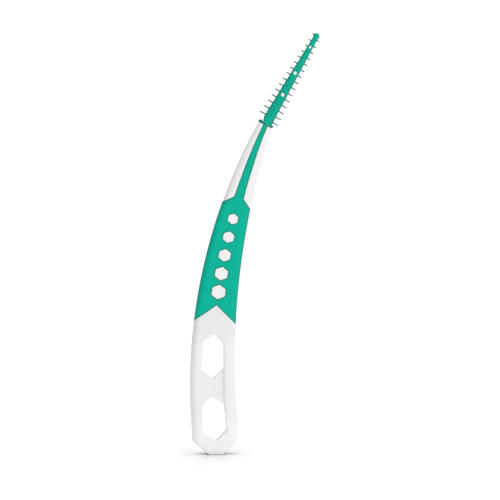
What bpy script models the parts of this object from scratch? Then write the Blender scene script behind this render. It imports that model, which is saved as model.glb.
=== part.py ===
"""Rubber interdental pick, 84 mm tall.

A rigid white base (windowed handle, grip core, neck and needle core) carries a
soft green skin (grip sleeve, neck stripes, collar and bristled tip sleeve).
The pick stands on its flat end, +Z up, bends towards +X, and its broad faces
look along -Y (front) and +Y (back).  The origin is the centre of the end face.
The needle is cut at its two flex points, so that each length is a piece.
"""

import math

import bmesh
import bpy
from mathutils import Matrix, Vector

# ---------------------------------------------------------------- dimensions
# All lengths are in millimetres and become metres in finish().
MM = 0.001
FIT = 0.04                  # between pieces that are moulded onto each other

# The spine: distance along it, and its lean from the vertical in degrees
HEADING = ((0.0, -4.5), (10.0, -2.7), (24.0, 4.0), (52.0, 16.8), (62.0, 21.0),
           (68.0, 25.5), (71.0, 30.4), (92.0, 30.0))
SPINE_START_X = 0.05
SPINE_STEP = 0.05

# Half width and half thickness along the spine
HALF_WIDTH = ((-3.0, 4.61), (0.0, 4.58), (15.0, 4.49), (30.0, 4.04),
              (45.0, 3.25), (57.0, 2.35), (67.35, 1.47), (72.0, 1.11))
HALF_THICK = ((-3.0, 1.50), (0.0, 1.50), (31.0, 1.50), (33.0, 1.50), (45.0, 1.46),
              (57.0, 1.28), (67.35, 1.12), (72.0, 1.05))
SIDE_ROUND = 1.40           # depth of the rounded sides

NECK_TOP = 67.05            # where the neck ends and the collar sits
SKIN = 0.60                 # grip sleeve wall
STRIPE_DEPTH = 0.36

# The half hexagon at the bottom of the handle
END_HALF_FLAT = 1.46
END_CORNER = ((-4.80, 2.76), (4.30, 2.84))

# Two six-sided windows, clockwise from the top, seen from the front
WINDOW_UPPER = ((-0.42, 24.00), (1.54, 22.06), (1.54, 17.02),
                (-0.80, 15.00), (-3.00, 16.94), (-2.70, 22.38))
WINDOW_LOWER = ((-0.78, 11.58), (1.64, 9.94), (2.10, 4.66),
                (-0.08, 2.68), (-2.72, 4.12), (-2.92, 9.70))
WEB_HALF = 0.90             # the web between the windows is thinner

# The grip sleeve's edges, seen from the front
GRIP_APEX = (0.06, 29.66)
GRIP_LOW_LEFT = (-4.14, 26.80)
GRIP_LOW_RIGHT = (3.84, 25.90)
SHOULDER_LEFT = ((1.24, 50.34), (3.80, 51.44))
SHOULDER_RIGHT = ((6.66, 49.06), (5.40, 50.86))

# Six-sided pads of the base that come up flush through the grip sleeve
PADS = 5
PAD_FIRST, PAD_PITCH = 32.4, 3.70
PAD_LONG, PAD_WIDE = 1.46, 1.32          # half sizes of the lowest pad
PAD_TAPER = 0.035                        # each next pad is smaller by this

STRIPE_FROM = 52.25
STRIPE_HALF = ((52.0, 0.97), (67.3, 0.47))

# The needle
COLLAR = (0.26, 1.21)       # middle to the right of the spine, and radius
COLLAR_TOP = 67.66
BEADS = ((67.46, -1.26, 0.37), (67.40, 1.26, 0.30))     # place, side, radius
CORE_RADIUS = ((66.0, 0.73), (67.35, 0.70), (87.3, 0.25))
SLEEVE_RADIUS = ((67.9, 1.12), (69.0, 1.10), (86.6, 0.53), (87.2, 0.52))
CORE_END, TIP_CENTRE, TIP_RADIUS = 87.33, 87.91, 0.54
FLEX_LOW, FLEX_HIGH = 71.36, 78.03       # the two flex points
FLEX_GAP = 0.40
# The needle stands a little to the right of the spine
SET_OVER = ((66.8, 0.0), (69.5, 0.13), (72.5, 0.14), (75.5, 0.10), (80.0, 0.09),
            (84.0, 0.09), (88.0, 0.06))

# Bristles: two side rows, and shorter rows on the front and the back
BRISTLE_ROOT, BRISTLE_END = 0.16, 0.115
REACH = ((68.2, 2.40), (87.9, 1.00))     # from the axis to a bristle's end
LEFT_ROW = (69.15, 1.334, 15)            # first, pitch, count
RIGHT_ROW = (68.24, 1.347, 15)
FACE_ROW = (69.40, 1.339, 14)
FACE_REACH = 0.80
PIN_HOLES = ((74.08, 0.38), (79.11, 0.36), (85.16, 0.25))  # place, radius

WHITE = (0.86, 0.86, 0.85, 1.0)
GREEN = (0.005, 0.47, 0.35, 1.0)


# ---------------------------------------------------------------- the spine
def line(table, s):
    """Straight-line value of a table at s."""
    if s <= table[0][0]:
        return table[0][1]
    for (a, va), (b, vb) in zip(table, table[1:]):
        if s <= b:
            return va + (vb - va) * (s - a) / (b - a)
    return table[-1][1]


def smooth(table, s):
    """Value of a table at s, on a curve through its points."""
    if s <= table[0][0]:
        return table[0][1]
    if s >= table[-1][0]:
        return table[-1][1]
    slopes = []
    for i in range(len(table)):
        lo, hi = table[max(i - 1, 0)], table[min(i + 1, len(table) - 1)]
        slopes.append((hi[1] - lo[1]) / (hi[0] - lo[0]))
    for i in range(len(table) - 1):
        (a, va), (b, vb) = table[i], table[i + 1]
        if s <= b:
            h = b - a
            t = (s - a) / h
            return ((2 * t ** 3 - 3 * t ** 2 + 1) * va
                    + (t ** 3 - 2 * t ** 2 + t) * h * slopes[i]
                    + (3 * t ** 2 - 2 * t ** 3) * vb
                    + (t ** 3 - t ** 2) * h * slopes[i + 1])
    return table[-1][1]


def make_spine():
    """Points of the spine, a step apart, from its lean."""
    x, z, points = SPINE_START_X, 0.0, [(SPINE_START_X, 0.0)]
    for i in range(int(92.0 / SPINE_STEP)):
        lean = math.radians(line(HEADING, (i + 0.5) * SPINE_STEP))
        x += math.sin(lean) * SPINE_STEP
        z += math.cos(lean) * SPINE_STEP
        points.append((x, z))
    return points


SPINE = make_spine()


def frame(s):
    """The spine's point at s, its direction, and the direction to its right."""
    lean = math.radians(line(HEADING, s))
    way = Vector((math.sin(lean), 0.0, math.cos(lean)))
    right = Vector((math.cos(lean), 0.0, -math.sin(lean)))
    if s <= 0:
        return Vector((SPINE_START_X, 0.0, 0.0)) + way * s, way, right
    i = min(int(s / SPINE_STEP), len(SPINE) - 2)
    t = s / SPINE_STEP - i
    x = SPINE[i][0] * (1 - t) + SPINE[i + 1][0] * t
    z = SPINE[i][1] * (1 - t) + SPINE[i + 1][1] * t
    return Vector((x, 0.0, z)) + right * line(SET_OVER, s), way, right


# ---------------------------------------------------------------- making solids
def new_object(name, bm):
    bmesh.ops.recalc_face_normals(bm, faces=bm.faces)
    mesh = bpy.data.meshes.new(name)
    bm.to_mesh(mesh)
    bm.free()
    made = bpy.data.objects.new(name, mesh)
    bpy.context.scene.collection.objects.link(made)
    return made


def loft(name, stations, section):
    """A closed solid through the sections at the stations of the spine."""
    bm = bmesh.new()
    before = None
    for s in stations:
        centre, way, right = frame(s)
        ring = [bm.verts.new(centre + right * u + Vector((0.0, v, 0.0)))
                for u, v in section(s)]
        if before:
            for i in range(len(ring)):
                j = (i + 1) % len(ring)
                bm.faces.new((before[i], before[j], ring[j], ring[i]))
        else:
            bm.faces.new(ring)
        before = ring
    bm.faces.new(before)
    return new_object(name, bm)


def prism(name, outline, y_from, y_to):
    """A flat outline in X-Z, extruded along Y."""
    bm = bmesh.new()
    face = bm.faces.new([bm.verts.new((x, y_from, z)) for x, z in outline])
    grown = bmesh.ops.extrude_face_region(bm, geom=[face])
    bmesh.ops.translate(
        bm, vec=(0.0, y_to - y_from, 0.0),
        verts=[g for g in grown["geom"] if isinstance(g, bmesh.types.BMVert)])
    return new_object(name, bm)


def ball(name, centre, radius):
    bm = bmesh.new()
    bmesh.ops.create_uvsphere(bm, u_segments=12, v_segments=8, radius=radius)
    bmesh.ops.translate(bm, vec=centre, verts=bm.verts)
    return new_object(name, bm)


def combine(target, tool, operation, keep=False):
    """Applies a Boolean to target's mesh, and removes the tool."""
    step = target.modifiers.new(operation, "BOOLEAN")
    step.operation = operation
    step.object = tool
    step.solver = "EXACT"
    graph = bpy.context.evaluated_depsgraph_get()
    mesh = bpy.data.meshes.new_from_object(target.evaluated_get(graph))
    target.modifiers.clear()
    old = target.data
    target.data = mesh
    bpy.data.meshes.remove(old)
    if not keep:
        bpy.data.objects.remove(tool)
    return target


def cut(target, tool, keep=False):
    return combine(target, tool, "DIFFERENCE", keep)


def join(target, tool, keep=False):
    return combine(target, tool, "UNION", keep)


def common(target, tool, keep=False):
    return combine(target, tool, "INTERSECT", keep)


def spread(a, b, n):
    return [a + (b - a) * i / n for i in range(n + 1)]


def grown(outline, d):
    """An outline with each side moved out by d; in where d is negative."""
    n = len(outline)
    area = sum(outline[i][0] * outline[(i + 1) % n][1]
               - outline[(i + 1) % n][0] * outline[i][1] for i in range(n))
    turn = 1.0 if area > 0 else -1.0
    out = []
    for i in range(n):
        a, b, c = (Vector(outline[(i + k) % n]) for k in (-1, 0, 1))
        e, f = (b - a).normalized(), (c - b).normalized()
        ne, nf = Vector((e.y, -e.x)) * turn, Vector((f.y, -f.x)) * turn
        m = (ne + nf).normalized()
        p = b + m * (d / max(m.dot(ne), 0.3))
        out.append((p.x, p.y))
    return out


# ---------------------------------------------------------------- sections
def body_section(inset=0.0, thin=0.0, widen=None, arcs=8):
    """The handle's section: flat faces and rounded sides."""
    def section(s):
        w = (smooth(HALF_WIDTH, s) if widen is None else widen) - inset
        h = smooth(HALF_THICK, s) - max(inset, thin)
        r = min(SIDE_ROUND - inset * 0.5, w * 0.72)
        right = [(w - r + r * math.cos(a), h * math.sin(a))
                 for a in spread(-math.pi / 2, math.pi / 2, arcs)]
        left = [(-w + r - r * math.cos(a), -h * math.sin(a))
                for a in spread(-math.pi / 2, math.pi / 2, arcs)]
        return right + left
    return section


def round_section(radius, sides=20, flat=1.0):
    def section(s):
        r = radius(s)
        return [(r * math.cos(a), r * flat * math.sin(a))
                for a in spread(0.0, 2 * math.pi, sides)[:-1]]
    return section


def core_radius(s, extra=0.0):
    return line(CORE_RADIUS, s) + extra


def sleeve_radius(s):
    """The sleeve tapers, and ends in a small round bulb."""
    r = line(SLEEVE_RADIUS, s)
    if abs(s - TIP_CENTRE) < TIP_RADIUS:
        r_ball = math.sqrt(TIP_RADIUS ** 2 - (s - TIP_CENTRE) ** 2)
        r = r_ball if s > TIP_CENTRE else max(r, r_ball)
    return max(r, 0.08)


# ---------------------------------------------------------------- outlines
def end_outline():
    """Everything that the handle's half-hexagonal end keeps."""
    (lx, lz), (rx, rz) = END_CORNER
    slope_l = (lz - 0.0) / (lx + END_HALF_FLAT)
    slope_r = (rz - 0.0) / (rx - END_HALF_FLAT)
    return [(-END_HALF_FLAT, 0.0), (END_HALF_FLAT, 0.0),
            (14.0, slope_r * (14.0 - END_HALF_FLAT)), (40.0, 95.0),
            (-20.0, 95.0), (-14.0, slope_l * (-14.0 + END_HALF_FLAT))]


def slot_outline():
    """Both windows and the web between them, as one long slot."""
    u, w = WINDOW_UPPER, WINDOW_LOWER
    return [u[0], u[1], u[2], w[1], w[2], w[3], w[4], w[5], u[4], u[5]]


def web_outline():
    """The web, a hair longer than its windows leave it, let into the rails."""
    into = 0.5

    def out(corner, apex, dx):
        k = (corner[1] - apex[1]) / (corner[0] - apex[0])
        return (corner[0] + dx, corner[1] + k * dx)

    u, w = WINDOW_UPPER, WINDOW_LOWER
    return grown([out(u[4], u[3], -into), u[3], out(u[2], u[3], into),
                  out(w[1], w[0], into), w[0], out(w[5], w[0], -into)], FIT)


def beyond(a, b, x):
    """The point at x on the line from a to b."""
    return (x, a[1] + (b[1] - a[1]) * (x - a[0]) / (b[0] - a[0]))


def grip_outline():
    """The grip sleeve's reach, with its sides past the handle."""
    return [beyond(GRIP_APEX, GRIP_LOW_LEFT, -9.0), GRIP_APEX,
            beyond(GRIP_APEX, GRIP_LOW_RIGHT, 8.0),
            beyond(*SHOULDER_RIGHT, 9.0), SHOULDER_RIGHT[1],
            SHOULDER_LEFT[1], beyond(*SHOULDER_LEFT, -3.0)]


def stripe_outline(first, last, extra=0.0):
    """The stripe up the middle of the neck."""
    left, right = [], []
    for s in spread(first, last, 10):
        centre, way, to_right = frame(s)
        half = line(STRIPE_HALF, s) + extra
        a, b = centre - to_right * half, centre + to_right * half
        left.append((a.x, a.z))
        right.append((b.x, b.z))
    return right + left[::-1]


def pad_outline(i, extra=0.0):
    centre, way, right = frame(PAD_FIRST + PAD_PITCH * i)
    scale = 1.0 - PAD_TAPER * 2 * i
    long, wide = PAD_LONG * scale, PAD_WIDE * scale
    corners = ((0, long), (wide, long * 0.5), (wide, -long * 0.5),
               (0, -long), (-wide, -long * 0.5), (-wide, long * 0.5))
    points = [centre + right * u + way * v for u, v in corners]
    return grown([(p.x, p.z) for p in points], extra)


# ---------------------------------------------------------------- the base
def body(name, **options):
    stations = spread(-3.0, 28.0, 16) + spread(30.0, NECK_TOP, 18)
    solid = loft(name, stations, body_section(**options))
    return common(solid, prism("end", end_outline(), -6.0, 6.0))


def grip_core(name, extra=0.0):
    """What is under the grip sleeve: an inset copy of the body, with pads."""
    core = loft(name, spread(20.0, 56.0, 16),
                body_section(inset=SKIN - extra))
    for i in range(PADS):
        pad = prism("pad", pad_outline(i, extra), -5.0, 5.0)
        join(core, pad)
    return core


def stripe_core(name, extra=0.0):
    """What is under the stripes: a slab wider than the neck."""
    return loft(name, spread(49.0, 70.0, 8),
                body_section(thin=STRIPE_DEPTH - extra, widen=6.0))


def make_base():
    base = body("handle_base")
    cut(base, prism("slot", slot_outline(), -5.0, 5.0))
    join(base, prism("web", web_outline(), -WEB_HALF, WEB_HALF))
    shell = prism("shell", grip_outline(), -5.0, 5.0)
    cut(shell, grip_core("core"))
    cut(base, shell)
    groove = prism("groove", stripe_outline(STRIPE_FROM - 2.0, 69.0, FIT / 2),
                   -5.0, 5.0)
    cut(groove, stripe_core("slab"))
    cut(base, groove)
    stub = loft("stub", spread(65.5, FLEX_LOW - FLEX_GAP / 2, 5),
                round_section(core_radius, 20))
    return join(base, stub)


# ---------------------------------------------------------------- the soft skin
def make_grip_sleeve():
    sleeve = body("grip_sleeve")
    common(sleeve, prism("reach", grown(grip_outline(), -FIT), -5.0, 5.0))
    return cut(sleeve, grip_core("core", extra=FIT))


def make_stripe(name, side):
    stripe = body(name)
    near, far = (-5.0, 0.0) if side < 0 else (0.0, 5.0)
    common(stripe, prism("reach", stripe_outline(
        STRIPE_FROM, NECK_TOP - FIT, -FIT / 2), near, far))
    return cut(stripe, stripe_core("slab", extra=FIT))


def make_collar():
    """A rounded flange that caps the neck, with a stop bead at each side."""
    low, high = NECK_TOP + FIT, COLLAR_TOP
    middle, wide = COLLAR
    shape = ((low, wide - 0.06), (low + 0.08, wide), (high - 0.08, wide),
             (high, wide - 0.06))

    def section(s):
        r = line(shape, s)
        return [(middle + r * math.cos(a), r / 0.95 * math.sin(a))
                for a in spread(0.0, 2 * math.pi, 24)[:-1]]

    collar = loft("tip_collar", [s for s, r in shape], section)
    for s, side, radius in BEADS:
        centre, way, right = frame(s)
        join(collar, ball("bead", centre + right * side, radius))
    bore = loft("bore", (66.0, 69.5),
                round_section(lambda s: core_radius(s, 0.03), 20))
    return cut(collar, bore)


def face_bristles():
    """Places of the front and back rows, clear of the pin holes."""
    first, pitch, count = FACE_ROW
    return [s for s in (first + pitch * k for k in range(count))
            if all(abs(s - at) > 0.62 for at, r in PIN_HOLES)]


def bristle(bm, s, out, reach):
    """A tapered six-sided bristle with a blunt end, square to the axis."""
    centre, way, right = frame(s)
    across = way.cross(out).normalized()
    rings = []
    start = sleeve_radius(s) - 0.16
    for d, r in ((start, BRISTLE_ROOT), (reach - 0.05, BRISTLE_END),
                 (reach, BRISTLE_END * 0.5)):
        rings.append([bm.verts.new(centre + out * d
                                   + (way * math.cos(a) + across * math.sin(a)) * r)
                      for a in spread(0.0, 2 * math.pi, 6)[:-1]])
    for low, high in zip(rings, rings[1:]):
        for i in range(6):
            j = (i + 1) % 6
            bm.faces.new((low[i], low[j], high[j], high[i]))
    bm.faces.new(rings[0])
    bm.faces.new(rings[-1])


def make_tip_sleeve(name, low, high):
    """One length of the bristled sleeve, bored for the core."""
    closed = high > TIP_CENTRE
    stations = spread(low, min(high, 87.3), max(3, int((high - low) / 1.4)))
    if closed:
        stations += [TIP_CENTRE + TIP_RADIUS * math.sin(a)
                     for a in spread(-0.9, 1.35, 6)]
    sleeve = loft(name, stations, round_section(sleeve_radius, 18))
    bm = bmesh.new()
    for first, pitch, count, side in (LEFT_ROW + (-1,), RIGHT_ROW + (1,)):
        for s in (first + pitch * k for k in range(count)):
            if low < s < high:
                bristle(bm, s, frame(s)[2] * side, line(REACH, s))
    for s in face_bristles():
        if low < s < high:
            r = sleeve_radius(s)
            reach = r + (line(REACH, s) - r) * FACE_REACH
            for side in (-1, 1):
                bristle(bm, s, Vector((0.0, side, 0.0)), reach)
    join(sleeve, new_object("bristles", bm))
    ends = (low - 1.0, CORE_END + 0.04 if closed else high + 1.0)
    bore = loft("bore", spread(*ends, 6),
                round_section(lambda s: core_radius(s, 0.03), 18))
    cut(sleeve, bore)
    for s, r in PIN_HOLES:
        if low < s < high:
            centre, way, right = frame(s)
            hole = [centre + (way * math.cos(a) + right * math.sin(a)) * r
                    for a in spread(0.0, 2 * math.pi, 14)[:-1]]
            cut(sleeve, prism("hole", [(p.x, p.z) for p in hole], -3.0, 3.0))
    return sleeve


def make_needle_core(name, low, high):
    stations = spread(low, min(high, CORE_END - 0.2), 6)
    if high >= CORE_END:
        stations.append(CORE_END)

    def radius(s):
        return core_radius(s) * (0.55 if s > CORE_END - 0.05 else 1.0)

    return loft(name, stations, round_section(radius, 18))


# ---------------------------------------------------------------- finishing
def material(name, colour, roughness):
    mat = bpy.data.materials.new(name)
    mat.use_nodes = True
    shader = mat.node_tree.nodes["Principled BSDF"]
    shader.inputs["Base Color"].default_value = colour
    shader.inputs["Roughness"].default_value = roughness
    shader.inputs["Metallic"].default_value = 0.0
    return mat


def finish(part, colour, roughness, pivot=None):
    """Millimetres to metres, smooth shading, a material, and a pivot."""
    mesh = part.data
    if pivot:
        mesh.transform(Matrix.Translation(-pivot[1]))
        part.parent = pivot[0]
    mesh.transform(Matrix.Diagonal((MM, MM, MM, 1.0)))
    mesh.shade_smooth()
    mesh.set_sharp_from_angle(angle=math.radians(35))
    mesh.materials.clear()
    mesh.materials.append(material(part.name, colour, roughness))


def pivot_at(name, point, parent=None):
    """An empty on a flex point's axis."""
    empty = bpy.data.objects.new(name, None)
    bpy.context.scene.collection.objects.link(empty)
    empty.empty_display_size = 0.004
    empty.location = point * MM
    if parent:
        empty.parent = parent[0]
        empty.location = (point - parent[1]) * MM
    return empty, point


def main():
    for old in list(bpy.data.objects):
        bpy.data.objects.remove(old)

    half = FLEX_GAP / 2
    low_pivot = pivot_at("flex_low_pivot", frame(FLEX_LOW)[0])
    high_pivot = pivot_at("flex_high_pivot", frame(FLEX_HIGH)[0], low_pivot)

    finish(make_base(), WHITE, 0.35)
    finish(make_needle_core("needle_core_middle", FLEX_LOW + half,
                            FLEX_HIGH - half), WHITE, 0.35, low_pivot)
    finish(make_needle_core("needle_core_end", FLEX_HIGH + half, CORE_END),
           WHITE, 0.35, high_pivot)

    finish(make_grip_sleeve(), GREEN, 0.55)
    finish(make_stripe("neck_stripe_front", -1), GREEN, 0.55)
    finish(make_stripe("neck_stripe_back", 1), GREEN, 0.55)
    finish(make_collar(), GREEN, 0.55)
    finish(make_tip_sleeve("tip_sleeve_base", COLLAR_TOP + FIT,
                           FLEX_LOW - half), GREEN, 0.55)
    finish(make_tip_sleeve("tip_sleeve_middle", FLEX_LOW + half,
                           FLEX_HIGH - half), GREEN, 0.55, low_pivot)
    finish(make_tip_sleeve("tip_sleeve_end", FLEX_HIGH + half,
                           TIP_CENTRE + TIP_RADIUS), GREEN, 0.55, high_pivot)


main()
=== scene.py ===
import math

import bmesh
import bpy
import numpy as np
from mathutils import Matrix, Vector


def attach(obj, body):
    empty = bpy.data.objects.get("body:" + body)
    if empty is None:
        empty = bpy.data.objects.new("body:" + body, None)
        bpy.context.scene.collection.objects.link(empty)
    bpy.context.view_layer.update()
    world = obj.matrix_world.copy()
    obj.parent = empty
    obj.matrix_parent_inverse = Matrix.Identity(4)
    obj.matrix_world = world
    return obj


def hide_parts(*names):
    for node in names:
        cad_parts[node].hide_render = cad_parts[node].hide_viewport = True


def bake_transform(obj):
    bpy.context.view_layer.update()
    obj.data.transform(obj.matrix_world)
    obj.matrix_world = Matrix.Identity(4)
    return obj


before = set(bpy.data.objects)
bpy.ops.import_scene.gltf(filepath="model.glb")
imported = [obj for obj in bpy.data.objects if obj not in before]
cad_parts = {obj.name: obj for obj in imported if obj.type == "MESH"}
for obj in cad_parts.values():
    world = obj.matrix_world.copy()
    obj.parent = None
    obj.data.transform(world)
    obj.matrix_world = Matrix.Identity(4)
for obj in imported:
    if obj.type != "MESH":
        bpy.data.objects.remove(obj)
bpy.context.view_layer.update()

# The surfaces are worked out in millimetres along the spine of the pick:
# s runs up the spine from the foot, u is to its right and y is to the back.
# They become metres when they are laid out along the bent spine.
MM = 0.001

# ---------------------------------------------------------------- dimensions
HEADING = ((0.0, -4.5), (10.0, -2.7), (24.0, 4.0), (52.0, 16.8), (62.0, 21.0),
           (68.0, 25.5), (71.0, 30.4), (92.0, 30.0))
SPINE_START_X = 0.05
SPINE_STEP = 0.05
HALF_WIDTH = ((-3.0, 4.60), (0.0, 4.57), (15.0, 4.48), (30.0, 4.03),
              (45.0, 3.24), (57.0, 2.34), (67.35, 1.46), (72.0, 1.10))
HALF_THICK = ((-3.0, 1.50), (0.0, 1.50), (31.0, 1.50), (33.0, 1.50), (45.0, 1.46),
              (57.0, 1.28), (67.35, 1.12), (72.0, 1.05))
SIDE_ROUND = 1.40
NECK_TOP = 67.05
END_HALF_FLAT = 1.46
END_CORNER = ((-4.80, 2.76), (4.30, 2.84))
WINDOW_UPPER = ((-0.42, 24.00), (1.54, 22.06), (1.54, 17.02),
                (-0.80, 15.00), (-3.00, 16.94), (-2.70, 22.38))
WINDOW_LOWER = ((-0.78, 11.58), (1.64, 9.94), (2.10, 4.66),
                (-0.08, 2.68), (-2.72, 4.12), (-2.92, 9.70))
WEB_HALF = 0.90
GRIP_APEX = (0.06, 29.66)
GRIP_LOW_LEFT = (-4.14, 26.80)
GRIP_LOW_RIGHT = (3.84, 25.90)
SHOULDER_LEFT = ((1.24, 50.34), (3.80, 51.44))
SHOULDER_RIGHT = ((6.66, 49.06), (5.40, 50.86))
PADS = 5
PAD_FIRST, PAD_PITCH = 32.4, 3.70
PAD_LONG, PAD_WIDE, PAD_TAPER = 1.46, 1.32, 0.035
STRIPE_HALF = ((52.0, 0.97), (67.3, 0.47))
CORE_RADIUS = ((66.0, 0.73), (67.35, 0.70), (87.3, 0.25))
SLEEVE_RADIUS = ((67.9, 1.12), (69.0, 1.095), (86.6, 0.53), (87.2, 0.52))
CORE_END, TIP_CENTRE, TIP_RADIUS = 87.33, 87.91, 0.535
BRISTLE_ROOT, BRISTLE_END = 0.155, 0.11
# The needle stands a little to the right of the spine
SET_OVER = ((66.8, 0.0), (69.5, 0.13), (72.5, 0.14), (75.5, 0.10), (80.0, 0.09),
            (84.0, 0.09), (88.0, 0.06))
REACH = ((68.2, 2.38), (87.9, 0.98))
LEFT_ROW = (69.15, 1.334, 15)
RIGHT_ROW = (68.24, 1.347, 15)
FACE_ROW = (69.40, 1.339, 14)
FACE_REACH = 0.80
PIN_HOLES = ((74.08, 0.38), (79.11, 0.36), (85.16, 0.25))

# The collar: its middle to the right of the spine, its radius, its two ends,
# and the beads at its sides, each with its place, side and radius
COLLAR = (0.26, 1.21, 67.03, 67.66)
BEADS = ((67.44, -1.25, 0.40), (67.40, 1.26, 0.30))

# Fine shape that only the looks need
SKIN = 0.60                 # depth of the grip sleeve
STRIPE_DEPTH = 0.36
PROUD = 0.02                # the soft skin stands this far above the base
LAP = 0.08                  # and laps over the edge of its recess
LIP = 0.09                  # radius of the skin's edges
WINDOW_EDGE = 0.24          # fillet round the windows
FOOT_EDGE = 0.26            # fillet round the foot
SEAM = 75.36                # the tip's skin is in two lengths, split here
STUB_END = 68.60            # where the base's needle core hands over


# ---------------------------------------------------------------- the spine
def hermite(table, s):
    """Value of a table at s, on a curve through its points."""
    if s <= table[0][0]:
        return table[0][1]
    if s >= table[-1][0]:
        return table[-1][1]
    slopes = []
    for i in range(len(table)):
        lo, hi = table[max(i - 1, 0)], table[min(i + 1, len(table) - 1)]
        slopes.append((hi[1] - lo[1]) / (hi[0] - lo[0]))
    for i in range(len(table) - 1):
        (a, va), (b, vb) = table[i], table[i + 1]
        if s <= b:
            h = b - a
            t = (s - a) / h
            return ((2 * t ** 3 - 3 * t ** 2 + 1) * va
                    + (t ** 3 - 2 * t ** 2 + t) * h * slopes[i]
                    + (3 * t ** 2 - 2 * t ** 3) * vb
                    + (t ** 3 - t ** 2) * h * slopes[i + 1])
    return table[-1][1]


SAMPLES = np.arange(-4.0, 93.0, 0.05)
WIDTHS = np.array([hermite(HALF_WIDTH, s) for s in SAMPLES])
THICKS = np.array([hermite(HALF_THICK, s) for s in SAMPLES])


def line(table, s):
    """Straight-line value of a table at s."""
    places, values = zip(*table)
    return np.interp(s, places, values)


def make_spine():
    steps = int(92.0 / SPINE_STEP)
    middles = (np.arange(steps) + 0.5) * SPINE_STEP
    lean = np.radians(line(HEADING, middles))
    x = SPINE_START_X + np.concatenate(([0.0], np.cumsum(np.sin(lean)))) * SPINE_STEP
    z = np.concatenate(([0.0], np.cumsum(np.cos(lean)))) * SPINE_STEP
    s = np.arange(steps + 1) * SPINE_STEP
    foot = math.radians(HEADING[0][1])      # straight on below the foot
    s = np.concatenate(([-6.0], s))
    x = np.concatenate(([x[0] - 6.0 * math.sin(foot)], x))
    z = np.concatenate(([z[0] - 6.0 * math.cos(foot)], z))
    return s, x, z


SPINE_S, SPINE_X, SPINE_Z = make_spine()


def lay_out(s, u):
    """x and z of the points at s along the spine and u to its right."""
    lean = np.radians(line(HEADING, s))
    u = u + line(SET_OVER, s)
    x = np.interp(s, SPINE_S, SPINE_X) + u * np.cos(lean)
    z = np.interp(s, SPINE_S, SPINE_Z) - u * np.sin(lean)
    return x, z


# ---------------------------------------------------------------- field tools
# A field is the distance to a surface, negative inside the solid.
def both(a, b, r):
    """What a and b have in common, its edge rounded to radius r."""
    return (np.minimum(np.maximum(a, b), -r)
            + np.hypot(np.maximum(a + r, 0.0), np.maximum(b + r, 0.0)))


def either(a, b, r):
    """a and b together, with a fillet of radius r between them."""
    return (np.maximum(np.minimum(a, b), r)
            - np.hypot(np.maximum(r - a, 0.0), np.maximum(r - b, 0.0)))


def ramp(x, a, b):
    """0 at a and 1 at b, with soft ends."""
    t = np.clip((x - a) / (b - a), 0.0, 1.0)
    return t * t * (3.0 - 2.0 * t)


def half_plane(x, z, a, b):
    """Distance to the right of the line from a to b."""
    ex, ez = b[0] - a[0], b[1] - a[1]
    return ((x - a[0]) * ez - (z - a[1]) * ex) / math.hypot(ex, ez)


def outline(x, z, points):
    """Distance to a closed flat outline."""
    nearest, sign = 1e9, 1.0
    for (ax, az), (bx, bz) in zip(points, points[1:] + points[:1]):
        ex, ez = bx - ax, bz - az
        wx, wz = x - ax, z - az
        t = np.clip((wx * ex + wz * ez) / (ex * ex + ez * ez), 0.0, 1.0)
        nearest = np.minimum(nearest, (wx - ex * t) ** 2 + (wz - ez * t) ** 2)
        over, under, left = z >= az, z < bz, ex * wz > ez * wx
        turned = (over & under & left) | (~over & ~under & ~left)
        sign = np.where(turned, -sign, sign)
    return sign * np.sqrt(nearest)


def grown(points, d):
    """A closed outline with each side moved out by d; in where d is negative."""
    n = len(points)
    area = sum(points[i][0] * points[(i + 1) % n][1]
               - points[(i + 1) % n][0] * points[i][1] for i in range(n))
    turn = 1.0 if area > 0 else -1.0
    out = []
    for i in range(n):
        a, b, c = (Vector(points[(i + k) % n]) for k in (-1, 0, 1))
        e, f = (b - a).normalized(), (c - b).normalized()
        ne, nf = Vector((e.y, -e.x)) * turn, Vector((f.y, -f.x)) * turn
        m = (ne + nf).normalized()
        p = b + m * (d / max(m.dot(ne), 0.3))
        out.append((p.x, p.y))
    return out


def rounded_outline(x, z, points, r):
    """Distance to an outline whose outward corners are rounded to radius r."""
    return outline(x, z, grown(list(points), -r)) - r


def painted_shade_of_grip(points):
    """Painted shade on the grip's skin: darker in its rims and round its sides."""
    s, u, y = points.T
    x, z = lay_out(s, u)
    rim = np.maximum(skin_reach(s, u, x, z), -pads(x, z))
    rim = ramp(rim, -0.46, -0.04)
    side = 1.0 - ramp(np.abs(y), 0.25, 1.28)
    return np.clip(0.66 * rim + 0.56 * side * ramp(-s, -52.5, -51.0), 0.0, 1.0)


def painted_light_and_shade_of_base(points):
    """Painted light and shade on the base: a painted shade, greyest between the grip
    and the windows, and painted light that leaves it palest at its foot.
    """
    s = points[:, 0]
    return (0.02 + 0.27 * ramp(s, 3.0, 9.0)
            + 0.22 * ramp(s, 20.0, 25.0) * ramp(-s, -31.0, -29.0))


def painted_shade_of_tip(points):
    """Painted shade on the tip: the sleeve darker round its sides, the bristles towards
    their ends, and the beads.
    """
    s, u, y = points.T
    r = line(SLEEVE_RADIUS, s)
    sleeve = 0.10 + 0.55 * ramp(np.abs(u) / r, 0.40, 1.0)
    far = np.where(np.abs(u) > np.abs(y), ramp(np.abs(u) - r, 0.0, 0.35), 0.0)
    far = far * ramp(s, 68.15, 68.5)
    shade = np.maximum(sleeve, 0.95 * far)
    for at, side, radius in BEADS:
        bead = np.sqrt((s - at) ** 2 + (u - side) ** 2 + y ** 2) - radius
        shade = np.maximum(shade, 0.90 * ramp(-bead, -0.25, -0.02))
    return shade


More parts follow.
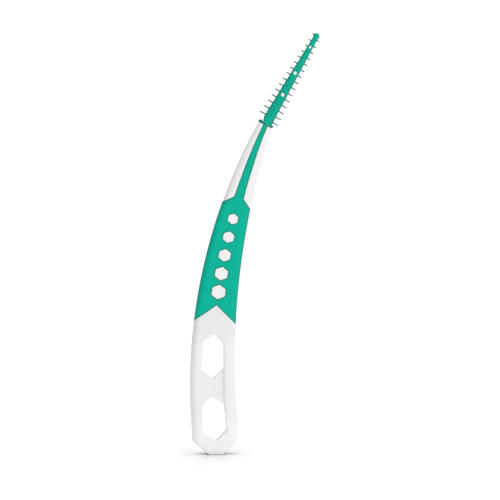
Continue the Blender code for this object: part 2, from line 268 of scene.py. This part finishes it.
# ---------------------------------------------------------------- the shapes
def body(s, u, y):
    """The handle: flat faces, rounded sides, no ends."""
    w, h = np.interp(s, SAMPLES, WIDTHS), np.interp(s, SAMPLES, THICKS)
    r = np.minimum(SIDE_ROUND, w * 0.72)
    across, up = np.maximum(np.abs(u) - (w - r), 0.0) / r, np.abs(y) / h
    q = np.hypot(across, up)
    slope = np.hypot(across / r, up / h)
    return (q - 1.0) * q / np.maximum(slope, 1e-6)


def foot(x, z):
    """The half hexagon that ends the handle."""
    (lx, lz), (rx, rz) = END_CORNER
    left = half_plane(x, z, (lx, lz), (-END_HALF_FLAT, 0.0))
    right = half_plane(x, z, (END_HALF_FLAT, 0.0), (rx, rz))
    return both(np.maximum(left, right), -z, 0.16)


def slot_points():
    u, w = WINDOW_UPPER, WINDOW_LOWER
    return [u[0], u[1], u[2], w[1], w[2], w[3], w[4], w[5], u[4], u[5]]


def beyond(a, b, x):
    """The point at x on the line from a to b."""
    return (x, a[1] + (b[1] - a[1]) * (x - a[0]) / (b[0] - a[0]))


def skin_reach(s, u, x, z):
    """The flat outline of the grip sleeve with the stripe up the neck."""
    grip = outline(x, z, [
        beyond(GRIP_APEX, GRIP_LOW_LEFT, -9.0), GRIP_APEX,
        beyond(GRIP_APEX, GRIP_LOW_RIGHT, 8.0),
        beyond(*SHOULDER_RIGHT, 9.0), SHOULDER_RIGHT[1],
        SHOULDER_LEFT[1], beyond(*SHOULDER_LEFT, -3.0)])
    stripe = np.maximum(np.abs(u) - line(STRIPE_HALF, s), 49.5 - s)
    return either(grip, stripe, 0.22)


def pads(x, z):
    """The flat outline of the six-sided pads, with softened corners."""
    found = 1e9
    for i in range(PADS):
        s = PAD_FIRST + PAD_PITCH * i
        lean = math.radians(float(line(HEADING, s)))
        cx, cz = (float(v) for v in lay_out(np.array(s), np.array(0.0)))
        scale = 1.0 - PAD_TAPER * 2 * i
        long, wide = PAD_LONG * scale, PAD_WIDE * scale
        corners = ((0, long), (wide, long * 0.5), (wide, -long * 0.5),
                   (0, -long), (-wide, -long * 0.5), (-wide, long * 0.5))
        points = [(cx + a * math.cos(lean) + b * math.sin(lean),
                   cz - a * math.sin(lean) + b * math.cos(lean))
                  for a, b in corners]
        found = np.minimum(found, rounded_outline(x, z, points, 0.16))
    return found


def skin_depth(s):
    return SKIN + (STRIPE_DEPTH - SKIN) * ramp(s, 50.6, 52.0)


def base_field(s, u, y):
    """The white moulding: handle, windows, web, grip core, neck and core stub."""
    x, z = lay_out(s, u)
    shape = body(s, u, y)
    handle = both(both(shape, foot(x, z), FOOT_EDGE), s - NECK_TOP, 0.10)
    slot = rounded_outline(x, z, slot_points(), 0.30)
    holes = np.minimum(rounded_outline(x, z, WINDOW_UPPER, 0.30),
                       rounded_outline(x, z, WINDOW_LOWER, 0.30))
    web = both(np.abs(y) - WEB_HALF, -holes, 0.07)
    web = np.maximum(web, slot - 0.45)
    handle = either(both(handle, -slot, WINDOW_EDGE), web, 0.10)
    taken = np.maximum(skin_reach(s, u, x, z) + LAP, -(shape + skin_depth(s)))
    taken = np.maximum(taken, LAP - pads(x, z))
    handle = np.maximum(handle, -taken)
    stub = np.maximum(np.hypot(u, y) - line(CORE_RADIUS, s),
                      np.abs(s - 66.0) - (STUB_END - 66.0))
    return np.minimum(handle, stub)


def skin_field(s, u, y):
    """The green skin of the grip, with its stripes up the neck."""
    x, z = lay_out(s, u)
    shape = body(s, u, y)
    half = line(STRIPE_HALF, s)
    crown = 0.07 * ramp(s, 51.2, 53.5) * np.clip(1.0 - (u / half) ** 2, 0.0, 1.0)
    skin = both(shape - PROUD - crown, skin_reach(s, u, x, z) - 0.03, LIP)
    skin = both(skin, -(pads(x, z) + 0.03), LIP)
    skin = np.maximum(skin, 0.02 - shape - skin_depth(s))
    return np.maximum(skin, s - NECK_TOP - 0.06)


def bristles(s, t, aside, places, share):
    """A row of tapered bristles. t is outwards, and aside is across the row."""
    middles = (places[1:] + places[:-1]) / 2
    at = places[np.searchsorted(middles, s)]
    reach = line(REACH, at) - 0.035
    root = line(SLEEVE_RADIUS, at)
    reach = root + (reach - root) * share
    thick = BRISTLE_ROOT + (BRISTLE_END - BRISTLE_ROOT) * np.clip(t / reach, 0, 1)
    sway = 0.035 * np.sin(at * 2.9) * (np.maximum(t - root, 0.0) / reach) ** 2
    away = np.hypot(s - at - sway, aside)
    past = np.maximum(t - (reach - BRISTLE_END), 0.0) + np.maximum(-t, 0.0)
    return np.hypot(away, past) - thick


def tip_field(s, u, y):
    """The green collar and sleeve of the needle, with bristles and pin holes."""
    out = np.hypot(u, y)
    sleeve = both(out - line(SLEEVE_RADIUS, s), s - TIP_CENTRE, 0.02)
    sleeve = either(sleeve, np.hypot(s - TIP_CENTRE, out) - TIP_RADIUS, 0.35)
    middle, r, low, high = COLLAR
    collar = both(np.hypot(u - middle, y) - r,
                  np.abs(s - (low + high) / 2) - (high - low) / 2, 0.08)
    for at, side, r in BEADS:
        bead = np.sqrt((s - at) ** 2 + (u - side) ** 2 + y ** 2) - r
        collar = either(collar, bead, 0.07)
    slant = (u + 0.99) * 0.895 + (s - 68.20) * 0.447
    skin = either(both(sleeve, -slant, 0.25), collar, 0.16)
    for side, (first, pitch, count) in ((-1, LEFT_ROW), (1, RIGHT_ROW)):
        row = first + pitch * np.arange(count)
        skin = either(skin, bristles(s, u * side, y, row, 1.0), 0.10)
    first, pitch, count = FACE_ROW
    row = first + pitch * np.arange(count)
    row = np.array([p for p in row
                    if all(abs(p - at) > 0.62 for at, r in PIN_HOLES)])
    skin = either(skin, bristles(s, np.abs(y), u, row, FACE_REACH), 0.10)
    for at, r in PIN_HOLES:
        skin = both(skin, r - np.hypot(s - at, u), 0.07)
    bore = np.maximum(out - line(CORE_RADIUS, s) - 0.03, s - CORE_END - 0.04)
    skin = np.maximum(skin, -bore)
    return np.maximum(skin, NECK_TOP + 0.04 - s)


def core_field(s, u, y):
    """The white needle core, with a pip in each pin hole."""
    out = np.hypot(u, y)
    core = both(out - line(CORE_RADIUS, s), s - CORE_END, 0.18)
    for at, r in PIN_HOLES:
        pip = both(np.hypot(s - at, u) - r + 0.02,
                   np.abs(y) - line(SLEEVE_RADIUS, at) + 0.01, 0.06)
        core = either(core, pip, 0.04)
    return np.maximum(core, STUB_END - s)


# ---------------------------------------------------------------- surfaces
def surface(field, low, high, step):
    """Vertices and quads where a field changes sign on a grid: one vertex for
    each cell that the surface crosses, then moved onto the surface."""
    low, step = np.array(low, float), np.array(step, float)
    n = np.ceil((np.array(high) - low) / step).astype(int) + 1
    axes = [low[k] + step[k] * np.arange(n[k]) for k in range(3)]
    rows = 64
    values = np.empty(n)
    for i in range(0, n[0], rows):
        values[i:i + rows] = field(axes[0][i:i + rows, None, None],
                                   axes[1][None, :, None], axes[2][None, None, :])
    inside = values < 0
    cells = n - 1
    corners = [(i, j, k) for i in (0, 1) for j in (0, 1) for k in (0, 1)]
    count = sum(inside[i:i + cells[0], j:j + cells[1], k:k + cells[2]].astype(np.int8)
                for i, j, k in corners)
    active = (count > 0) & (count < 8)
    number = np.full(cells, -1, np.int64)
    number[active] = np.arange(active.sum())
    cell = np.argwhere(active)
    total, hits = np.zeros((len(cell), 3)), np.zeros(len(cell))
    for a in corners:
        for axis in range(3):
            if a[axis]:
                continue
            b = list(a)
            b[axis] = 1
            ca, cb = cell + np.array(a), cell + np.array(b)
            fa, fb = values[tuple(ca.T)], values[tuple(cb.T)]
            crossed = (fa < 0) != (fb < 0)
            t = np.where(crossed, fa / np.where(crossed, fa - fb, 1.0), 0.0)
            where = np.array(a, float) + t[:, None] * (np.array(b) - np.array(a))
            total += where * crossed[:, None]
            hits += crossed
    points = (cell + total / hits[:, None]) * step + low

    quads = []
    for axis in range(3):
        j, k = (axis + 1) % 3, (axis + 2) % 3
        first, second = [slice(None)] * 3, [slice(None)] * 3
        first[axis], second[axis] = slice(0, -1), slice(1, None)
        change = inside[tuple(first)].astype(np.int8) - inside[tuple(second)]
        edge = np.argwhere(change != 0)
        edge = edge[(edge[:, j] > 0) & (edge[:, k] > 0)
                    & (edge[:, j] < cells[j]) & (edge[:, k] < cells[k])]
        leaving = change[tuple(edge.T)] > 0
        around = []
        for dj, dk in ((1, 1), (0, 1), (0, 0), (1, 0)):
            c = edge.copy()
            c[:, j] -= dj
            c[:, k] -= dk
            around.append(number[tuple(c.T)])
        quad = np.stack(around, axis=1)
        quad[~leaving] = quad[~leaving][:, ::-1]
        quads.append(quad)
    quads = np.concatenate(quads)

    limit, d = step.min() * 0.6, step.min() * 0.1
    for turn in range(2):
        here = field(*points.T)
        slope = np.stack([(field(*(points + e).T) - field(*(points - e).T)) / (2 * d)
                          for e in np.eye(3) * d], axis=1)
        steep = np.maximum((slope ** 2).sum(axis=1), 0.2)
        move = -slope * (here / steep)[:, None]
        length = np.sqrt((move ** 2).sum(axis=1))
        points += move * np.minimum(1.0, limit / np.maximum(length, 1e-9))[:, None]
    return points, quads, cell[:, 0]


def in_place(points):
    """Points in s, u and y laid out along the bent spine, in metres."""
    x, z = lay_out(points[:, 0], points[:, 1])
    return np.stack((x, points[:, 2], z), axis=1) * MM


def new_piece(name, points, quads, mat, shade=None):
    """A smooth mesh object from points in s, u and y. Its shade, from 0 to 1 at
    each point, is painted shade that darkens the colour."""
    mesh = bpy.data.meshes.new(name)
    mesh.vertices.add(len(points))
    mesh.vertices.foreach_set("co", in_place(points).astype(np.float32).ravel())
    mesh.loops.add(len(quads) * 4)
    mesh.loops.foreach_set("vertex_index", quads.astype(np.int32).ravel())
    mesh.polygons.add(len(quads))
    mesh.polygons.foreach_set("loop_start", np.arange(len(quads), dtype=np.int32) * 4)
    mesh.polygons.foreach_set("loop_total", np.full(len(quads), 4, np.int32))
    mesh.update(calc_edges=True)
    mesh.validate()
    mesh.shade_smooth()
    if shade is not None:
        layer = mesh.attributes.new("shade", "FLOAT", "POINT")
        layer.data.foreach_set("value", shade.astype(np.float32))
    mesh.materials.append(mat)
    made = bpy.data.objects.new(name, mesh)
    bpy.context.scene.collection.objects.link(made)
    return made


def part_of(points, quads, keep):
    """The quads to keep, with only the points that they use."""
    quads = quads[keep]
    used = np.unique(quads)
    new = np.full(len(points), -1, np.int64)
    new[used] = np.arange(len(used))
    return points[used], new[quads]


def close_ends(obj):
    """Fills the flat open end of a length, with sharp rims."""
    bm = bmesh.new()
    bm.from_mesh(obj.data)
    rims = [e for e in bm.edges if e.is_boundary]
    if rims:
        filled = bmesh.ops.triangle_fill(bm, use_beauty=True, use_dissolve=False,
                                         edges=rims)
        faces = [g for g in filled["geom"] if isinstance(g, bmesh.types.BMFace)]
        bmesh.ops.recalc_face_normals(bm, faces=bm.faces)
        for f in faces:
            f.smooth = False
        for e in rims:
            e.smooth = False
    bm.to_mesh(obj.data)
    bm.free()
    obj.data.update()


# ---------------------------------------------------------------- materials
def node(tree, kind, **values):
    made = tree.nodes.new(kind)
    for key, value in values.items():
        if key.startswith("in_"):
            made.inputs[key[3:].replace("_", " ")].default_value = value
        else:
            setattr(made, key, value)
    return made


def noise(tree, where, scale, detail, roughness=0.5):
    made = node(tree, "ShaderNodeTexNoise")
    made.inputs["Scale"].default_value = scale
    made.inputs["Detail"].default_value = detail
    made.inputs["Roughness"].default_value = roughness
    tree.links.new(where, made.inputs["Vector"])
    return made.outputs["Fac"]


def math_node(tree, operation, a, b=None, clamp=False):
    made = node(tree, "ShaderNodeMath", operation=operation, use_clamp=clamp)
    for socket, value in zip(made.inputs, (a, b)):
        if value is None:
            continue
        if isinstance(value, (int, float)):
            socket.default_value = value
        else:
            tree.links.new(value, socket)
    return made.outputs[0]


def blend_colours(tree, fac, a, b):
    made = node(tree, "ShaderNodeMix", data_type="RGBA")
    tree.links.new(fac, made.inputs[0])
    for socket, value in ((made.inputs[6], a), (made.inputs[7], b)):
        if isinstance(value, tuple):
            socket.default_value = (*value, 1.0)
        else:
            tree.links.new(value, socket)
    return made.outputs[2]


def spread_value(tree, fac, low, high, to_low, to_high):
    made = node(tree, "ShaderNodeMapRange")
    tree.links.new(fac, made.inputs["Value"])
    for key, value in (("From Min", low), ("From Max", high),
                       ("To Min", to_low), ("To Max", to_high)):
        made.inputs[key].default_value = value
    return made.outputs["Result"]


def moulded(name, pale, deep, rough, grain, specular, scatter, parting, painted_shade_colour=None):
    """A moulded plastic: slow colour change, fine grain in colour, gloss and
    height, and the parting line of the mould round its sides. The piece's own
    shade attribute, which is painted shade, takes it towards the painted shade colour."""
    mat = bpy.data.materials.new(name)
    mat.use_nodes = True
    tree = mat.node_tree
    shader = tree.nodes["Principled BSDF"]
    where = node(tree, "ShaderNodeTexCoord").outputs["Object"]
    slow = noise(tree, where, 130.0, 3.0)
    cloudy = noise(tree, where, 700.0, 4.0, 0.55)
    fine = noise(tree, where, 5200.0, 5.0, 0.6)

    tone = math_node(tree, "ADD", math_node(tree, "MULTIPLY", slow, 0.6),
                     math_node(tree, "MULTIPLY", cloudy, 0.4))
    tone = spread_value(tree, tone, 0.35, 0.65, 0.0, 1.0)
    colour = blend_colours(tree, tone, deep, pale)
    specks = spread_value(tree, fine, 0.30, 0.70, 0.0, 0.10)
    colour = blend_colours(tree, specks, colour, deep)
    if painted_shade_colour:
        # Painted shade: the shade attribute darkens the colour.
        shade = node(tree, "ShaderNodeAttribute", attribute_name="shade")
        colour = blend_colours(tree, shade.outputs["Fac"], colour, painted_shade_colour)
    tree.links.new(colour, shader.inputs["Base Color"])

    gloss = math_node(tree, "ADD", spread_value(tree, cloudy, 0.3, 0.7, rough[0],
                                                rough[1]),
                      spread_value(tree, fine, 0.3, 0.7, -0.03, 0.03))
    tree.links.new(gloss, shader.inputs["Roughness"])

    split = node(tree, "ShaderNodeSeparateXYZ")
    tree.links.new(where, split.inputs[0])
    away = math_node(tree, "ABSOLUTE", split.outputs["Y"])
    ridge = spread_value(tree, away, 0.00002, 0.00007, 1.0, 0.0)
    height = math_node(tree, "ADD", math_node(tree, "MULTIPLY", cloudy, 0.35),
                       math_node(tree, "MULTIPLY", fine, grain))
    height = math_node(tree, "ADD", height, math_node(tree, "MULTIPLY", ridge,
                                                      parting))
    bump = node(tree, "ShaderNodeBump")
    bump.inputs["Strength"].default_value = 0.35
    bump.inputs["Distance"].default_value = 0.00004
    tree.links.new(height, bump.inputs["Height"])
    tree.links.new(bump.outputs["Normal"], shader.inputs["Normal"])

    shader.inputs["Specular IOR Level"].default_value = specular
    shader.inputs["IOR"].default_value = 1.49
    shader.inputs["Subsurface Weight"].default_value = scatter
    shader.inputs["Subsurface Radius"].default_value = (0.0008, 0.0008, 0.0008)
    shader.inputs["Subsurface Scale"].default_value = 1.0
    return mat


# The white plastic and the green rubber each take a colour for their painted shade.
white = moulded("white_plastic", pale=(0.940, 0.938, 0.930), deep=(0.905, 0.906, 0.902),
                rough=(0.30, 0.42), grain=0.20, specular=0.45, scatter=0.0,
                parting=0.9, painted_shade_colour=(0.68, 0.68, 0.68))
# A paler copy of the white plastic for the needle core: painted light, so that its pips
# in the pin holes show brighter than their shade leaves them.
paler_white_painted_light = moulded("white_core", pale=(0.960, 0.965, 0.960), deep=(0.920, 0.930, 0.925),
                 rough=(0.30, 0.42), grain=0.10, specular=0.45, scatter=0.0,
                 parting=0.0)
green = moulded("green_rubber", pale=(0.002, 0.470, 0.335), deep=(0.001, 0.430, 0.300),
                rough=(0.44, 0.60), grain=0.45, specular=0.07, scatter=0.0,
                parting=0.8, painted_shade_colour=(0.022, 0.150, 0.120))


# ---------------------------------------------------------------- the pieces
k = 1.0
points, quads, rows = surface(base_field, (-1.2, -4.75, -1.65), (68.8, 4.75, 1.65),
                              (0.148 * k, 0.126 * k, 0.126 * k))
# The base carries painted shade, with painted light at its foot.
base = new_piece("base_moulding", points, quads, white,
                 painted_light_and_shade_of_base(points))
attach(base, "handle")
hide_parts("handle_base")

points, quads, rows = surface(skin_field, (24.5, -4.45, -1.75), (67.6, 4.45, 1.75),
                              (0.11 * k, 0.10 * k, 0.10 * k))
# The grip's skin carries painted shade in its rims and round its sides.
skin = new_piece("grip_skin", points, quads, green,
                 painted_shade_of_grip(points))
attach(skin, "handle")
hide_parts("grip_sleeve", "neck_stripe_front", "neck_stripe_back")


def two_lengths(field, low, high, step, names, mat, shading=None):
    """A piece of the needle as two lengths that meet at the seam."""
    points, quads, rows = surface(field, low, high, step)
    row = int((SEAM - low[0]) / step[0])
    ring = rows == row
    points[ring, 0] = low[0] + (row + 0.5) * step[0]
    made = []
    for name, keep in ((names[0], (rows[quads] <= row).all(axis=1)),
                       (names[1], (rows[quads] >= row).all(axis=1))):
        some, faces = part_of(points, quads, keep)
        obj = new_piece(name, some, faces, mat,
                        shading(some) if shading else None)
        close_ends(obj)
        made.append(obj)
    return made


# The tip's skin carries painted shade round the sleeve's sides, at the bristle ends and
# on the beads.
lower, upper = two_lengths(tip_field, (67.2, -2.55, -2.2), (88.7, 2.55, 2.2),
                           (0.045 * k, 0.045 * k, 0.045 * k),
                           ("tip_skin_lower", "tip_skin_upper"), green,
                           painted_shade_of_tip)
core_lower, core_upper = two_lengths(core_field, (68.4, -0.8, -1.25),
                                     (87.7, 0.8, 1.25), (0.06, 0.05, 0.05),
                                     ("needle_core_lower", "needle_core_upper"),
                                     paler_white_painted_light)
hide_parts("tip_collar", "tip_sleeve_base", "tip_sleeve_middle")
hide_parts("tip_sleeve_middle", "tip_sleeve_end")
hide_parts("needle_core_middle")
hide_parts("needle_core_middle", "needle_core_end")
for piece in (lower, core_lower):
    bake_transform(piece)
for piece in (upper, core_upper):
    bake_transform(piece)


# ---------------------------------------------------------------- the setting
def make_floor():
    bm = bmesh.new()
    bmesh.ops.create_circle(bm, cap_ends=True, segments=96, radius=2.0)
    mesh = bpy.data.meshes.new("floor")
    bm.to_mesh(mesh)
    bm.free()
    floor = bpy.data.objects.new("floor", mesh)
    bpy.context.scene.collection.objects.link(floor)
    mat = bpy.data.materials.new("floor_white")
    mat.use_nodes = True
    shader = mat.node_tree.nodes["Principled BSDF"]
    shader.inputs["Base Color"].default_value = (0.24, 0.24, 0.24, 1.0)
    shader.inputs["Roughness"].default_value = 0.16
    shader.inputs["IOR"].default_value = 1.08
    mesh.materials.append(mat)
    return floor


def make_world():
    """Soft white light from all round, more from the front, less from the left."""
    world = bpy.data.worlds.new("studio")
    bpy.context.scene.world = world
    world.use_nodes = True
    tree = world.node_tree
    sky = tree.nodes["Background"]
    where = node(tree, "ShaderNodeTexCoord").outputs["Generated"]
    split = node(tree, "ShaderNodeSeparateXYZ")
    tree.links.new(where, split.inputs[0])
    side = spread_value(tree, split.outputs["X"], -0.74, -0.08, 0.0, 1.0)
    back = spread_value(tree, split.outputs["Y"], 0.75, 0.95, 0.0, 1.0)
    top = spread_value(tree, split.outputs["Z"], 0.25, 0.85, 0.0, 1.0)
    side = math_node(tree, "MAXIMUM", side, math_node(tree, "MAXIMUM", back, top))
    front = spread_value(tree, split.outputs["Y"], -0.95, -0.10, 1.50, 1.0)
    right = spread_value(tree, split.outputs["X"], 0.35, 0.95, 1.0, 0.80)
    light = math_node(tree, "MULTIPLY", side, math_node(tree, "MULTIPLY", front, right))
    seen = node(tree, "ShaderNodeLightPath").outputs["Is Camera Ray"]
    strength = node(tree, "ShaderNodeMix", data_type="FLOAT")
    tree.links.new(seen, strength.inputs[0])
    tree.links.new(light, strength.inputs[2])
    strength.inputs[3].default_value = 1.05
    tree.links.new(strength.outputs[0], sky.inputs["Strength"])
    sky.inputs["Color"].default_value = (1.0, 1.0, 1.0, 1.0)


def make_floor_lights(floor):
    """For the floor only: a broad soft light straight above, and a faint one from
    the left with no shadow, so that the floor is as pale from the side."""
    lit = bpy.data.collections.new("lit_by_floor_lights")
    lit.objects.link(floor)
    for name, angle, energy, lean, shadow in (("top_light", 90.0, 10.9, 0.0, True),
                                              ("left_light", 60.0, 1.2, 72.0, False)):
        light = bpy.data.lights.new(name, "SUN")
        light.angle = math.radians(angle)
        light.energy = energy
        light.use_shadow = shadow
        obj = bpy.data.objects.new(name, light)
        obj.location = (0.0, 0.0, 0.5)
        obj.rotation_euler = (0.0, -math.radians(lean), 0.0)
        bpy.context.scene.collection.objects.link(obj)
        obj.light_linking.receiver_collection = lit


def make_camera():
    """Level, a little to the left of square on, through a long lens."""
    azimuth, elevation, lens, sensor, width = -3.6, 0.0, 108.0, 36.0, 0.100
    a, e = math.radians(azimuth), math.radians(elevation)
    back = Vector((math.sin(a) * math.cos(e), -math.cos(a) * math.cos(e), math.sin(e)))
    target = Vector((0.00680, 0.0, 0.04068))
    cam = bpy.data.cameras.new("camera")
    cam.lens, cam.sensor_width = lens, sensor
    cam.clip_start, cam.clip_end = 0.01, 10.0
    obj = bpy.data.objects.new("camera", cam)
    obj.location = target + back * (width * lens / sensor)
    obj.rotation_mode = "QUATERNION"
    obj.rotation_quaternion = (-back).to_track_quat("-Z", "Y")
    bpy.context.scene.collection.objects.link(obj)
    bpy.context.scene.camera = obj


make_floor_lights(make_floor())
make_world()
make_camera()
bpy.context.scene.view_settings.view_transform = "Standard"
bpy.context.scene.view_settings.look = "None"
